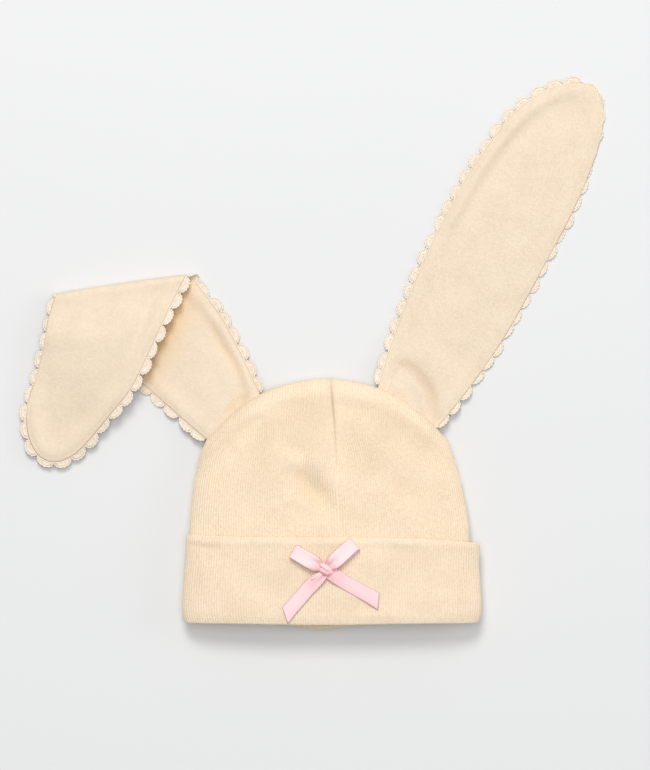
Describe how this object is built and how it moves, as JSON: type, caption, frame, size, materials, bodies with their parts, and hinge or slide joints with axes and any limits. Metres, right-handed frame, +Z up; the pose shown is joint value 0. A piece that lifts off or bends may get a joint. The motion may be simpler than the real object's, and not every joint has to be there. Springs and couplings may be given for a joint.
{
  "type": "baby hat with ears",
  "caption": "Ribbed knit newborn hat lying flat, with a turned-up cuff, two long lace-edged ears, one of them folded over, and a small satin bow on the cuff.",
  "frame": {"origin": "bottom centre of the whole hat's box as it lies flat on its back", "axes": "+Z up, out of the hat's front; +Y from the mouth of the hat towards its ears; +X to the right as seen from the front with the ears up"},
  "size_m": [0.3078, 0.289, 0.025],
  "materials": {
    "rib_knit": "matt cream cotton rib knit, fine vertical ribs",
    "jersey": "matt cream cotton jersey, smooth side out",
    "lace": "matt ivory cotton crochet edging",
    "satin_ribbon": "pale pink satin, soft sheen"
  },
  "bodies": {
    "root": {"crown": "rib_knit", "cuff": "rib_knit", "ear_left": "jersey", "ear_right": "jersey", "lace_left": "lace", "lace_right": "lace", "bow_knot": "satin_ribbon", "bow_loop_left": "satin_ribbon", "bow_loop_right": "satin_ribbon", "bow_tail_left": "satin_ribbon", "bow_tail_right": "satin_ribbon"}
  },
  "joints": []
}
